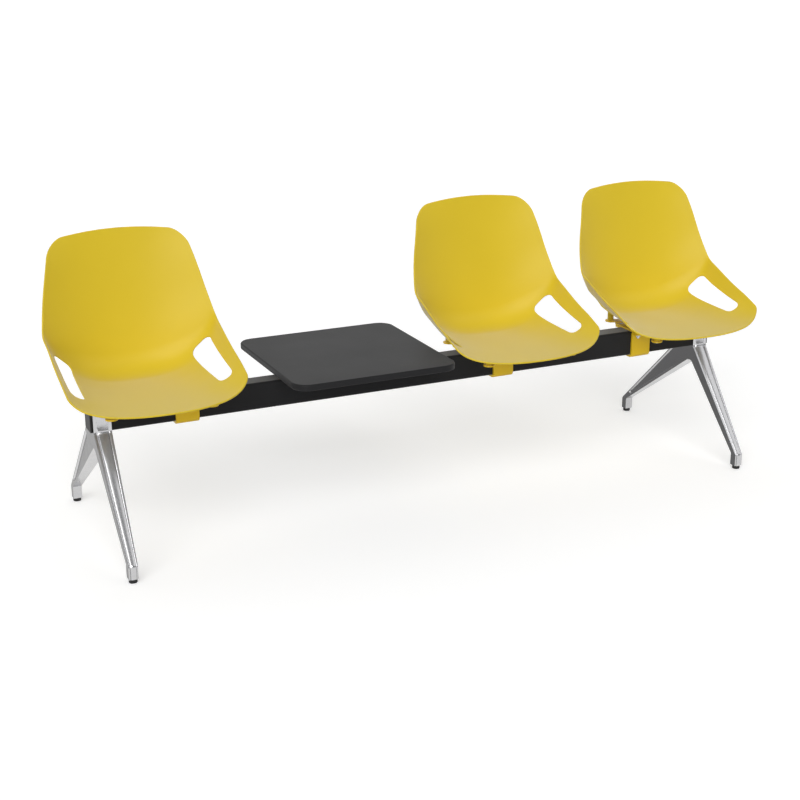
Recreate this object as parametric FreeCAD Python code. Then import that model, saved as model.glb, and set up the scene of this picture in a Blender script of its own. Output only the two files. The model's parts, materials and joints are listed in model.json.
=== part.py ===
# Beam seating: three one-piece plastic seats and a small table on one steel beam,
# carried by two cast aluminium legs with levelling feet.
# Units are millimetres. X runs along the beam, the front faces -Y, +Z is up and
# the floor is at zero. Shapes are drawn around the beam's centre line and moved
# to the middle of the foot print when they are saved.

import math
import os

import FreeCAD
import Part

os.makedirs("parts", exist_ok=True)

# Beam: a rectangular steel tube with a plastic plug in each end
beam_length = 2048.0
beam_height = 80.0
beam_depth = 60.0
beam_wall = 3.0
beam_corner_radius = 6.0
beam_underside = 350.0
cap_thickness = 4.0
cap_edge_radius = 2.5
cap_plug_length = 18.0
cap_plug_wall = 2.5
cap_plug_clearance = 0.3

# Where the pieces sit along the beam
leg_x = 995.0
left_seat_x = -860.0
inner_seat_x = 276.5
right_seat_x = 871.5
left_strap_x = -753.0
inner_strap_x = 257.0
right_strap_x = 760.5
table_x = -249.0
table_y = 14.5

# Cast leg: an upside-down V under a collar that the beam passes through
front_foot_reach = 267.5
rear_foot_reach = 366.5
leg_head_width = 51.0
leg_ankle_width = 27.0
leg_bottom = 11.5
ankle_height = 50.0
crotch_height = 300.0
crotch_front = -25.0
crotch_rear = -8.0
collar_front_wall = 6.2
collar_rear_wall = 9.0
collar_top_wall = 7.7
collar_clearance = 0.3
collar_corner_radius = 5.0
rear_shoulder_reach = 56.0
limb_edge_radius = 5.0
pocket_depth = 4.5
pocket_margin = 10.0
pocket_top = 255.0
pocket_corner_radius = 4.0
spine_share = 0.55
spine_height = 3.0
spine_edge_radius = 3.0
recess_width = 32.0
recess_height = 27.0
recess_lift = 2.0
recess_depth = 2.5
recess_radius = 4.0

# Leg bolts, up through the casting into a tapped plate inside the beam
leg_bolt_spacing = 26.0
leg_bolt_y = -4.0
leg_bolt_seat = 318.0
leg_bolt_diameter = 8.0
leg_bolt_head_diameter = 13.0
leg_bolt_head_height = 8.0
leg_bolt_socket = 6.0
leg_bolt_counterbore = 15.0
leg_bolt_end_over_plate = 3.0
leg_plate_length = 46.0
leg_plate_depth = 44.0
leg_plate_thickness = 8.0

# Levelling feet
glide_diameter = 24.0
glide_pad_height = 11.2
glide_pad_radius = 1.6
glide_stem_diameter = 8.0
glide_stem_start = 4.0
glide_stem_length = 40.0
glide_flange_diameter = 15.0
glide_flange_height = 3.0
glide_hole_spare_depth = 4.0

# Holes for bolts and screws
bolt_clearance = 0.6
thread_gap = 0.1

# Seat shell: middle line of its upper face, seen from the side
shell_thickness = 5.0
shell_edge_radius = 2.0
pan_front_y = -243.5
pan_front_rise = 21.5
pan_tilt = 1.1
bend_start_y = 95.5
bend_radius = 78.0
back_angle = 79.5
back_top_rise = 428.0

# Seat shell: side line as half width, position and height over the beam
side_front = (242.0, -252.5, 45.5)
side_arm_front = (247.0, -168.5, 64.0)
side_arm_middle = (248.0, -96.0, 90.5)
side_arm_high = (247.5, -20.0, 115.5)
side_arm_rear = (246.5, 50.0, 144.5)
side_elbow = (245.0, 123.0, 190.0)
side_waist = (232.0, 155.0, 256.5)
side_shoulder = (215.5, 178.5, 329.0)
side_upper = (200.0, 206.0, 392.5)
side_top = (190.0, 230.5, 442.0)

# Seat shell: height of the middle line where the upper side points belong
elbow_level = 113.0
waist_level = 211.0
shoulder_level = 306.0
upper_level = 385.0

# Seat shell: how a cross section climbs from the middle to the side line
wing_share = 0.75
wing_power = 3.3
lip_power = 14.0
back_power = 2.2
climb_blend_before = 75.0
climb_blend_after = 72.0
shell_overrun = 12.0

# Seat shell: shape of the front and top edges
front_bow = 61.5
front_corner_length = 32.0
front_corner_share = 0.4
top_crown = 20.5
top_corner_length = 52.5
top_corner_share = 0.22

# Hand holes in the wings of the shell
hand_hole_x = 203.5
hand_hole_y = 15.0
hand_hole_rise = 71.8
hand_hole_length = 225.0
hand_hole_front_width = 41.0
hand_hole_rear_width = 78.0
hand_hole_front_radius = 17.0
hand_hole_rear_radius = 23.0
hand_hole_climb = 8.4
hand_hole_slope = 38.5

# Fixing bosses under the shell
boss_x = 140.0
boss_front_y = -165.0
boss_rear_y = 100.0
boss_diameter = 20.0
insert_diameter = 9.0
insert_bore = 6.2
insert_length = 9.0
insert_lead = 0.4

# Seat carrier: a flat plate over the beam with four arms
carrier_thickness = 4.0
carrier_depth = 124.0
carrier_long_side = 148.0
carrier_short_side = 62.0
carrier_corner_radius = 8.0
carrier_arm_width = 34.0
carrier_arm_root_x = 38.0
carrier_arm_root_y = 42.0
carrier_rib_width = 5.0
carrier_rib_height = 9.0
carrier_rib_start_y = 66.0
carrier_rib_end_gap = 16.0

# Strap round the beam, with studs and nuts
strap_width = 68.0
strap_thickness = 8.0
strap_side_clearance = 0.3
strap_bend_radius = 3.0
strap_flange_reach = 62.0
stud_x = 20.0
stud_y = 49.0
stud_diameter = 8.0
stud_head_diameter = 11.0
stud_head_height = 1.5
stud_length = 24.0
nut_width = 13.0
nut_height = 6.5

# Seat screws
seat_screw_diameter = 6.0
seat_screw_head_diameter = 12.0
seat_screw_head_height = 3.5
seat_screw_length = 11.5
seat_screw_socket = 4.0
socket_depth = 2.5

# Table
table_width = 502.0
table_depth = 507.0
table_thickness = 18.0
table_gap = 26.0
table_corner_radius = 46.0
table_top_edge_radius = 4.0
table_low_edge_radius = 2.0

# Table bracket: a hat section lying across the beam
bracket_sheet = 4.0
bracket_top_width = 110.0
bracket_foot_width = 30.0
bracket_length = 280.0
bracket_bend_radius = 3.0
bracket_bolt_y = 18.0
bracket_bolt_diameter = 6.0
bracket_bolt_head_width = 10.0
bracket_bolt_head_height = 4.0
bracket_plate_depth = 48.0
bracket_plate_thickness = 6.0
bracket_plate_spare = 12.0
bracket_bolt_end_under_plate = 3.0
table_screw_x = 36.0
table_screw_pitch = 110.0
table_screw_diameter = 4.5
table_screw_head_diameter = 9.0
table_screw_head_height = 3.0
table_screw_bite = 13.0

# Sizes that follow from the ones above
beam_top = beam_underside + beam_height
beam_y = (front_foot_reach - rear_foot_reach) / 2.0
bend_tilt = math.radians(pan_tilt)
bend_lean = math.radians(back_angle)
pan_length = (bend_start_y - pan_front_y) / math.cos(bend_tilt)
bend_start_rise = pan_front_rise - pan_length * math.sin(bend_tilt)
bend_centre_y = bend_start_y + bend_radius * math.sin(bend_tilt)
bend_centre_rise = bend_start_rise + bend_radius * math.cos(bend_tilt)
bend_length = bend_radius * (bend_lean + bend_tilt)
bend_end_y = bend_centre_y + bend_radius * math.sin(bend_lean)
bend_end_rise = bend_centre_rise - bend_radius * math.cos(bend_lean)
back_length = (back_top_rise - bend_end_rise) / math.sin(bend_lean)
shell_length = pan_length + bend_length + back_length
carrier_top = beam_top + carrier_thickness


def vec(x, y, z):
    return FreeCAD.Vector(x, y, z)


def save(name, shape):
    placed = shape.copy()
    placed.translate(vec(0.0, beam_y, 0.0))
    placed.exportStep("parts/" + name + ".step")


def group(shapes):
    return Part.makeCompound(shapes)


def block(x_low, x_high, y_low, y_high, z_low, z_high):
    size = (x_high - x_low, y_high - y_low, z_high - z_low)
    return Part.makeBox(size[0], size[1], size[2], vec(x_low, y_low, z_low))


def rod(x, y, z_low, z_high, diameter):
    return Part.makeCylinder(diameter / 2.0, z_high - z_low, vec(x, y, z_low))


def hexagon(x, y, z_low, z_high, width):
    radius = width / math.sqrt(3.0)
    corners = []
    for step in range(7):
        turn = math.radians(60.0 * step)
        corners.append(vec(x + radius * math.cos(turn), y + radius * math.sin(turn), z_low))
    return Part.Face(Part.makePolygon(corners)).extrude(vec(0.0, 0.0, z_high - z_low))


def rounded_wire(corners):
    """Closed wire through (point, radius) pairs with an arc at each rounded corner."""
    edges = []
    starts = []
    ends = []
    for index, (point, radius) in enumerate(corners):
        before = (corners[index - 1][0] - point).normalize()
        after = (corners[(index + 1) % len(corners)][0] - point).normalize()
        if radius == 0.0:
            starts.append(point)
            ends.append(point)
            continue
        half = before.getAngle(after) / 2.0
        tangent = radius / math.tan(half)
        middle = (before + after).normalize() * (radius / math.sin(half) - radius)
        starts.append(point + before * tangent)
        ends.append(point + after * tangent)
        edges.append(Part.Arc(starts[-1], point + middle, ends[-1]).toShape())
    for index in range(len(corners)):
        start = ends[index]
        end = starts[(index + 1) % len(corners)]
        if start.distanceToPoint(end) > 1e-6:
            edges.append(Part.makeLine(start, end))
    return Part.Wire(Part.__sortEdges__(edges))


def rounded_prism(corners, direction):
    return Part.Face(rounded_wire(corners)).extrude(direction)


def rounded_bar(x_low, x_high, y_half, z_low, z_high, radius):
    """Bar along X with rounded long edges."""
    outline = [
        (vec(x_low, -y_half, z_low), radius),
        (vec(x_low, y_half, z_low), radius),
        (vec(x_low, y_half, z_high), radius),
        (vec(x_low, -y_half, z_high), radius),
    ]
    return rounded_prism(outline, vec(x_high - x_low, 0.0, 0.0))


def side_prism(outline, radius, half_width):
    """Solid with the given (y, z) outline, as wide as the leg head or wider."""
    corners = [(vec(-half_width, y, z), radius) for y, z in outline]
    return rounded_prism(corners, vec(2.0 * half_width, 0.0, 0.0))


def edges_matching(shape, test):
    return [edge for edge in shape.Edges if test(edge)]


# Beam and end plugs

def make_beam():
    half = beam_length / 2.0
    outer = rounded_bar(-half, half, beam_depth / 2.0, beam_underside, beam_top, beam_corner_radius)
    bore = rounded_bar(
        -half,
        half,
        beam_depth / 2.0 - beam_wall,
        beam_underside + beam_wall,
        beam_top - beam_wall,
        beam_corner_radius - beam_wall,
    )
    tube = outer.cut(bore)
    for side in (-1.0, 1.0):
        for x in leg_bolt_places(side):
            hole = leg_bolt_diameter + bolt_clearance
            tube = tube.cut(rod(x, leg_bolt_y, beam_underside - 1.0, beam_underside + beam_wall + 1.0, hole))
    for x, y in bracket_bolt_places():
        hole = bracket_bolt_diameter + bolt_clearance
        tube = tube.cut(rod(x, y, beam_top - beam_wall - 1.0, beam_top + 1.0, hole))
    return tube


def make_end_cap(side):
    """Plug for the beam's end, open below where the tapped plate of the leg lies."""
    face = beam_length / 2.0
    plate = rounded_bar(
        face, face + cap_thickness, beam_depth / 2.0, beam_underside, beam_top, beam_corner_radius
    )
    outside = face + cap_thickness
    plate = plate.makeFillet(
        cap_edge_radius, edges_matching(plate, lambda edge: edge.BoundBox.XMin > outside - 0.01)
    )
    inset = beam_wall + cap_plug_clearance
    plug = rounded_bar(
        face - cap_plug_length,
        face,
        beam_depth / 2.0 - inset,
        beam_underside + inset,
        beam_top - inset,
        beam_corner_radius - beam_wall,
    )
    inner = inset + cap_plug_wall
    hollow = block(
        face - cap_plug_length,
        face,
        inner - beam_depth / 2.0,
        beam_depth / 2.0 - inner,
        beam_underside,
        beam_top - inner,
    )
    cap = plate.fuse(plug.cut(hollow)).removeSplitter()
    if side < 0.0:
        cap = cap.mirror(vec(0.0, 0.0, 0.0), vec(1.0, 0.0, 0.0))
    return cap


# Legs

def leg_outline(inset):
    """Side view of the leg casting; the ankles can be drawn in by an inset."""
    half_ankle = leg_ankle_width / 2.0
    front_wall = beam_depth / 2.0 + collar_clearance + collar_front_wall
    rear_wall = beam_depth / 2.0 + collar_clearance + collar_rear_wall
    top = beam_top + collar_clearance + collar_top_wall
    return [
        (-front_wall, top),
        (-front_wall, beam_underside),
        (-front_foot_reach - half_ankle + inset, ankle_height),
        (-front_foot_reach - half_ankle + inset, leg_bottom),
        (-front_foot_reach + half_ankle, leg_bottom),
        (-front_foot_reach + half_ankle, ankle_height),
        (crotch_front, crotch_height),
        (crotch_rear, crotch_height),
        (rear_foot_reach - half_ankle, ankle_height),
        (rear_foot_reach - half_ankle, leg_bottom),
        (rear_foot_reach + half_ankle - inset, leg_bottom),
        (rear_foot_reach + half_ankle - inset, ankle_height),
        (rear_shoulder_reach, beam_underside),
        (rear_wall, top),
    ]


def leg_taper(share, trim):
    """Front view of the leg: full width at the head, narrow at the ankles."""
    head = leg_head_width * share / 2.0 - trim
    ankle = leg_ankle_width * share / 2.0 - trim
    reach = front_foot_reach + rear_foot_reach
    top = beam_top + 50.0
    outline = [
        (vec(-ankle, -reach, 0.0), 0.0),
        (vec(-ankle, -reach, ankle_height), 0.0),
        (vec(-head, -reach, beam_underside), 0.0),
        (vec(-head, -reach, top), 0.0),
        (vec(head, -reach, top), 0.0),
        (vec(head, -reach, beam_underside), 0.0),
        (vec(ankle, -reach, ankle_height), 0.0),
        (vec(ankle, -reach, 0.0), 0.0),
    ]
    return rounded_prism(outline, vec(0.0, 2.0 * reach, 0.0))


def pocket_outline():
    """Side recess in the rear limb that leaves a rim all the way round."""
    half_ankle = leg_ankle_width / 2.0
    limb = [
        (rear_shoulder_reach, beam_underside),
        (rear_foot_reach + half_ankle, ankle_height),
        (rear_foot_reach - half_ankle, ankle_height),
        (rear_shoulder_reach, pocket_top),
    ]
    return inset_outline(limb, pocket_margin)


def inset_outline(points, margin):
    """Move every side of a convex outline inwards by the margin."""
    middle_y = sum(point[0] for point in points) / len(points)
    middle_z = sum(point[1] for point in points) / len(points)
    lines = []
    for index, start in enumerate(points):
        end = points[(index + 1) % len(points)]
        length = math.hypot(end[0] - start[0], end[1] - start[1])
        normal = ((end[1] - start[1]) / length, (start[0] - end[0]) / length)
        offset = normal[0] * start[0] + normal[1] * start[1]
        inside = normal[0] * middle_y + normal[1] * middle_z
        if inside < offset:
            offset = offset - margin
        else:
            offset = offset + margin
        lines.append((normal, offset))
    corners = []
    for index, (normal, offset) in enumerate(lines):
        other, reach = lines[index - 1]
        scale = other[0] * normal[1] - other[1] * normal[0]
        y = (reach * normal[1] - offset * other[1]) / scale
        z = (other[0] * offset - normal[0] * reach) / scale
        corners.append((y, z))
    return corners


def leg_bolt_places(side):
    middle = side * leg_x
    return [middle - leg_bolt_spacing / 2.0, middle + leg_bolt_spacing / 2.0]


def beam_opening():
    """Space in the collar that the beam passes through."""
    return rounded_bar(
        -leg_head_width,
        leg_head_width,
        beam_depth / 2.0 + collar_clearance,
        beam_underside,
        beam_top + collar_clearance,
        collar_corner_radius,
    )


def leg_holes():
    """Bolt holes with counterbores under the collar, and a hole for each foot."""
    bolt_hole = leg_bolt_diameter + bolt_clearance
    foot_hole = glide_stem_diameter + 2.0 * thread_gap
    foot_hole_top = glide_stem_start + glide_stem_length + glide_hole_spare_depth
    low = crotch_height - leg_head_width
    holes = []
    for offset in (-leg_bolt_spacing / 2.0, leg_bolt_spacing / 2.0):
        holes.append(rod(offset, leg_bolt_y, leg_bolt_seat - 1.0, beam_underside + 1.0, bolt_hole))
        holes.append(rod(offset, leg_bolt_y, low, leg_bolt_seat, leg_bolt_counterbore))
    for foot_y in (-front_foot_reach, rear_foot_reach):
        holes.append(rod(0.0, foot_y, leg_bottom - 1.0, foot_hole_top, foot_hole))
    return holes


def limb_body(inset, share, radius):
    """Leg body of one width, with its long edges rounded below the collar."""
    slab = side_prism(leg_outline(inset), 0.0, leg_head_width)
    body = slab.common(leg_taper(share, 0.0))
    spread = (leg_head_width - leg_ankle_width) / 2.0

    def is_limb_edge(edge):
        box = edge.BoundBox
        return box.XLength < spread + 1.0 and box.ZLength > 1.0 and box.ZMax < beam_underside + 1.0

    body = body.makeFillet(radius, edges_matching(body, is_limb_edge))
    body = body.cut(beam_opening())
    for hole in leg_holes():
        body = body.cut(hole)
    return body


def head_recess():
    """Shallow rounded recess in the front wall of the collar."""
    front = -(beam_depth / 2.0 + collar_clearance + collar_front_wall)
    low = beam_underside + recess_lift
    high = low + recess_height
    outline = [
        (vec(-recess_width / 2.0, front, low), recess_radius),
        (vec(recess_width / 2.0, front, low), recess_radius),
        (vec(recess_width / 2.0, front, high), recess_radius),
        (vec(-recess_width / 2.0, front, high), recess_radius),
    ]
    return rounded_prism(outline, vec(0.0, recess_depth, 0.0))


def make_leg(side):
    body = limb_body(spine_height, 1.0, limb_edge_radius)
    body = body.fuse(limb_body(0.0, spine_share, spine_edge_radius)).removeSplitter()
    recess = side_prism(pocket_outline(), pocket_corner_radius, leg_head_width)
    body = body.cut(recess.cut(leg_taper(1.0, pocket_depth)))
    body = body.cut(head_recess())
    body.translate(vec(side * leg_x, 0.0, 0.0))
    return body


def make_leg_bolts(side):
    bolts = []
    top = beam_underside + beam_wall + leg_plate_thickness + leg_bolt_end_over_plate
    for x in leg_bolt_places(side):
        head = rod(x, leg_bolt_y, leg_bolt_seat - leg_bolt_head_height, leg_bolt_seat, leg_bolt_head_diameter)
        shank = rod(x, leg_bolt_y, leg_bolt_seat, top, leg_bolt_diameter)
        low = leg_bolt_seat - leg_bolt_head_height
        socket = hexagon(x, leg_bolt_y, low, low + leg_bolt_head_height / 2.0, leg_bolt_socket)
        bolts.append(head.fuse(shank).cut(socket))
    return group(bolts)


def make_leg_plate(side):
    low = beam_underside + beam_wall
    middle = side * leg_x
    plate = block(
        middle - leg_plate_length / 2.0,
        middle + leg_plate_length / 2.0,
        -leg_plate_depth / 2.0,
        leg_plate_depth / 2.0,
        low,
        low + leg_plate_thickness,
    )
    for x in leg_bolt_places(side):
        bore = leg_bolt_diameter + 2.0 * thread_gap
        plate = plate.cut(rod(x, leg_bolt_y, low - 1.0, low + leg_plate_thickness + 1.0, bore))
    return plate


def make_glide_stem(x, y):
    stem = rod(x, y, glide_stem_start, glide_stem_start + glide_stem_length, glide_stem_diameter)
    flange = rod(x, y, glide_stem_start, glide_stem_start + glide_flange_height, glide_flange_diameter)
    return stem.fuse(flange).removeSplitter()


def make_glide_pad(x, y):
    pad = rod(x, y, 0.0, glide_pad_height, glide_diameter)
    pad = pad.makeFillet(glide_pad_radius, [edge for edge in pad.Edges if edge.BoundBox.ZMax < 0.01])
    return pad.cut(make_glide_stem(x, y))


# Seat shell

def centre_line(path):
    """Point (y, rise) on the middle line at a distance behind the front edge."""
    if path < pan_length:
        return pan_front_y + path * math.cos(bend_tilt), pan_front_rise - path * math.sin(bend_tilt)
    if path < pan_length + bend_length:
        turn = (path - pan_length) / bend_radius - bend_tilt
        y = bend_centre_y + bend_radius * math.sin(turn)
        return y, bend_centre_rise - bend_radius * math.cos(turn)
    rest = path - pan_length - bend_length
    return bend_end_y + rest * math.cos(bend_lean), bend_end_rise + rest * math.sin(bend_lean)


def path_to_level(level):
    """Distance along the middle line to a height on the straight back."""
    return pan_length + bend_length + (level - bend_end_rise) / math.sin(bend_lean)


def make_side_line():
    """Curve along the side of the shell, measured by the same path as the middle."""
    stations = [
        (-shell_overrun, side_front),
        (side_arm_front[1] - pan_front_y, side_arm_front),
        (side_arm_middle[1] - pan_front_y, side_arm_middle),
        (side_arm_high[1] - pan_front_y, side_arm_high),
        (side_arm_rear[1] - pan_front_y, side_arm_rear),
        (path_to_level(elbow_level), side_elbow),
        (path_to_level(waist_level), side_waist),
        (path_to_level(shoulder_level), side_shoulder),
        (path_to_level(upper_level), side_upper),
        (shell_length + shell_overrun, side_top),
    ]
    line = Part.BSplineCurve()
    line.interpolate(
        Points=[vec(*place) for path, place in stations],
        Parameters=[path for path, place in stations],
    )
    return line


side_line = make_side_line()


def blend(low, high, value):
    share = min(max((value - low) / (high - low), 0.0), 1.0)
    return share * share * (3.0 - 2.0 * share)


def climb(across, path):
    """Share of the way from the middle line up to the side line."""
    size = abs(across)
    pan = wing_share * size**wing_power + (1.0 - wing_share) * size**lip_power
    back = size**back_power
    mix = blend(pan_length - climb_blend_before, pan_length + bend_length + climb_blend_after, path)
    return pan * (1.0 - mix) + back * mix


def shell_point(across, path):
    middle_y, middle_rise = centre_line(path)
    edge = side_line.value(path)
    share = climb(across, path)
    y = middle_y + (edge.y - middle_y) * share
    rise = middle_rise + (edge.z - middle_rise) * share
    return vec(edge.x * across, y, beam_top + rise)


def shell_normal(across, path):
    sideways = shell_point(across + 0.001, path) - shell_point(across - 0.001, path)
    forwards = shell_point(across, path + 0.5) - shell_point(across, path - 0.5)
    return sideways.cross(forwards).normalize()


def shell_surface(depth):
    """Smooth surface at the given depth under the upper face."""
    columns = 33
    rows = 41
    widest = 1.02
    grid = []
    for column in range(columns):
        across = widest * math.sin(math.pi * (column / (columns - 1.0) - 0.5))
        line = []
        for row in range(rows):
            path = (shell_length + 2.0 * shell_overrun) * row / (rows - 1.0) - shell_overrun
            line.append(shell_point(across, path) - shell_normal(across, path) * depth)
        grid.append(line)
    surface = Part.BSplineSurface()
    surface.interpolate(grid)
    return surface


def corner_drop(across, share, length):
    start = 1.0 - share
    if across < start:
        return 0.0
    return length * (1.0 - math.sqrt(max(0.0, 1.0 - ((across - start) / share) ** 2)))


def edge_steps(share):
    """Steps from the middle to the side, closer together in the corner."""
    straight = [(1.0 - share) * step / 5.0 for step in range(5)]
    corner = [1.0 - share + share * math.sin(math.radians(90.0 * step / 8.0)) for step in range(9)]
    return straight + corner


def shell_outline():
    """Rim of the shell as (across, path) pairs, right half then left half."""
    front = []
    for across in edge_steps(front_corner_share):
        path = front_bow * across**2 + corner_drop(across, front_corner_share, front_corner_length)
        front.append((across, path))
    top = []
    for across in edge_steps(top_corner_share):
        drop = top_crown * across**2 + corner_drop(across, top_corner_share, top_corner_length)
        top.append((across, shell_length - drop))
    start = front[-1][1]
    end = top[-1][1]
    side = [(1.0, start + (end - start) * step / 16.0) for step in range(1, 16)]
    right = front + side + top[::-1]
    left = [(-across, path) for across, path in right[1:-1]]
    return right + left[::-1]


def hand_hole_points(side):
    """Rounded outline of a hand hole in the sloping plane of the wing."""
    climb_angle = math.radians(hand_hole_climb)
    slope_angle = math.radians(hand_hole_slope)
    along = vec(0.0, math.cos(climb_angle), math.sin(climb_angle))
    over = vec(side * math.cos(slope_angle), -math.sin(climb_angle) * math.sin(slope_angle), 0.0)
    over.z = math.cos(climb_angle) * math.sin(slope_angle)
    centre = vec(side * hand_hole_x, hand_hole_y, beam_top + hand_hole_rise)
    half = hand_hole_length / 2.0
    front = hand_hole_front_width / 2.0
    rear = hand_hole_rear_width / 2.0
    corners = [
        (centre - along * half - over * front, hand_hole_front_radius),
        (centre + along * half - over * rear, hand_hole_rear_radius),
        (centre + along * half + over * rear, hand_hole_rear_radius),
        (centre - along * half + over * front, hand_hole_front_radius),
    ]
    wire = rounded_wire(corners)
    return wire.discretize(Number=33)[:-1]


def curve_on(surface, points):
    """Closed edge on a surface, drawn through the points nearest the given ones."""
    flat = []
    for point in points:
        across, along = surface.parameter(point)
        flat.append(FreeCAD.Base.Vector2d(across, along))
    curve = Part.Geom2d.BSplineCurve2d()
    curve.interpolate(flat + [flat[0]])
    return curve.toShape(surface)


def shell_face(surface, rim, holes):
    face = Part.Face(surface, Part.Wire([rim]))
    face.validate()
    face.cutHoles([Part.Wire([hole]) for hole in holes])
    face.validate()
    return face


def place_on_shell(x, y):
    """Find the (across, path) pair of the shell above a point of the plan."""
    low = 0.0
    high = pan_length + bend_length
    for attempt in range(40):
        path = (low + high) / 2.0
        across = x / side_line.value(path).x
        if shell_point(across, path).y < y:
            low = path
        else:
            high = path
    return across, path


def boss_places():
    places = []
    for x in (-boss_x, boss_x):
        for y in (boss_front_y, boss_rear_y):
            places.append((x, y))
    return places


def make_boss(x, y):
    """Boss that ends half way into the thickness of the shell."""
    across, path = place_on_shell(x, y)
    normal = shell_normal(across, path)
    middle = shell_point(across, path) - normal * (shell_thickness / 2.0)
    boss = rod(x, y, carrier_top, middle.z + boss_diameter, boss_diameter)
    size = 4.0 * boss_diameter
    waste = Part.makeBox(size, size, size, vec(-size / 2.0, -size / 2.0, 0.0))
    waste.Placement = FreeCAD.Placement(
        middle, FreeCAD.Rotation(vec(0.0, 0.0, 1.0), normal)
    ).multiply(waste.Placement)
    return boss.cut(waste)


def make_seat_shell():
    upper = shell_surface(0.0)
    lower = shell_surface(shell_thickness)
    rim = shell_outline()
    rim_upper = curve_on(upper, [shell_point(*place) for place in rim])
    rim_lower = curve_on(
        lower, [shell_point(*place) - shell_normal(*place) * shell_thickness for place in rim]
    )
    holes_upper = []
    holes_lower = []
    for side in (-1.0, 1.0):
        points = hand_hole_points(side)
        normal = (points[8] - points[0]).cross(points[16] - points[0]).normalize()
        if normal.z < 0.0:
            normal = normal * -1.0
        holes_upper.append(curve_on(upper, points))
        holes_lower.append(curve_on(lower, [point - normal * shell_thickness for point in points]))
    faces = [
        shell_face(upper, rim_upper, holes_upper),
        shell_face(lower, rim_lower, holes_lower),
    ]
    for high, low in zip([rim_upper] + holes_upper, [rim_lower] + holes_lower):
        faces += Part.makeRuledSurface(high, low).Faces
    skin = Part.makeShell(faces)
    skin.sewShape()
    solid = Part.makeSolid(skin)
    if solid.Volume < 0.0:
        solid.reverse()
    longest = max(edge.Length for edge in solid.Edges)
    solid = solid.makeFillet(
        shell_edge_radius, edges_matching(solid, lambda edge: edge.Length > 0.8 * longest)
    )
    for x, y in boss_places():
        solid = solid.fuse(make_boss(x, y))
    for x, y in boss_places():
        solid = solid.cut(rod(x, y, carrier_top - 1.0, carrier_top + insert_lead + insert_length, insert_diameter))
    return solid


def make_seat_inserts():
    low = carrier_top + insert_lead
    inserts = []
    for x, y in boss_places():
        sleeve = rod(x, y, low, low + insert_length, insert_diameter)
        inserts.append(sleeve.cut(rod(x, y, low, low + insert_length, insert_bore)))
    return group(inserts)


def make_seat_screws():
    screws = []
    low = beam_top - seat_screw_head_height
    for x, y in boss_places():
        head = rod(x, y, low, beam_top, seat_screw_head_diameter)
        shank = rod(x, y, beam_top, beam_top + seat_screw_length, seat_screw_diameter)
        socket = hexagon(x, y, low, low + socket_depth, seat_screw_socket)
        screws.append(head.fuse(shank).cut(socket))
    return group(screws)


# Seat carrier, strap, studs and nuts

def make_arm(x, y):
    """Flat arm with a rounded end round the boss and a rib under it."""
    root_x = math.copysign(carrier_arm_root_x, x)
    root_y = math.copysign(carrier_arm_root_y, y)
    run = vec(x - root_x, y - root_y, 0.0)
    length = run.Length
    half = carrier_arm_width / 2.0
    arm = block(0.0, length, -half, half, 0.0, carrier_thickness)
    arm = arm.fuse(rod(length, 0.0, 0.0, carrier_thickness, carrier_arm_width))
    rib_start = (carrier_rib_start_y - carrier_arm_root_y) * length / abs(y - root_y)
    rib = block(
        rib_start,
        length - carrier_rib_end_gap,
        -carrier_rib_width / 2.0,
        carrier_rib_width / 2.0,
        -carrier_rib_height,
        0.0,
    )
    arm = arm.fuse(rib)
    turn = math.degrees(math.atan2(run.y, run.x))
    arm.Placement = FreeCAD.Placement(
        vec(root_x, root_y, beam_top), FreeCAD.Rotation(vec(0.0, 0.0, 1.0), turn)
    )
    return arm


def stud_places(strap_offset):
    places = []
    for x in (strap_offset - stud_x, strap_offset + stud_x):
        for y in (-stud_y, stud_y):
            places.append((x, y))
    return places


def make_carrier(long_side, strap_offset):
    """Carrier drawn round the middle of its seat; the long side holds the strap."""
    ends = sorted((long_side * carrier_long_side, -long_side * carrier_short_side))
    half = carrier_depth / 2.0
    outline = [
        (vec(ends[0], -half, beam_top), carrier_corner_radius),
        (vec(ends[1], -half, beam_top), carrier_corner_radius),
        (vec(ends[1], half, beam_top), carrier_corner_radius),
        (vec(ends[0], half, beam_top), carrier_corner_radius),
    ]
    plate = rounded_prism(outline, vec(0.0, 0.0, carrier_thickness))
    for x, y in boss_places():
        plate = plate.fuse(make_arm(x, y))
    plate = plate.removeSplitter()
    for x, y in boss_places():
        hole = seat_screw_diameter + bolt_clearance
        plate = plate.cut(rod(x, y, beam_top - 1.0, carrier_top + 1.0, hole))
    for x, y in stud_places(strap_offset):
        plate = plate.cut(rod(x, y, beam_top - 1.0, carrier_top, stud_diameter))
        plate = plate.cut(rod(x, y, carrier_top - stud_head_height, carrier_top + 1.0, stud_head_diameter))
    return plate


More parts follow.
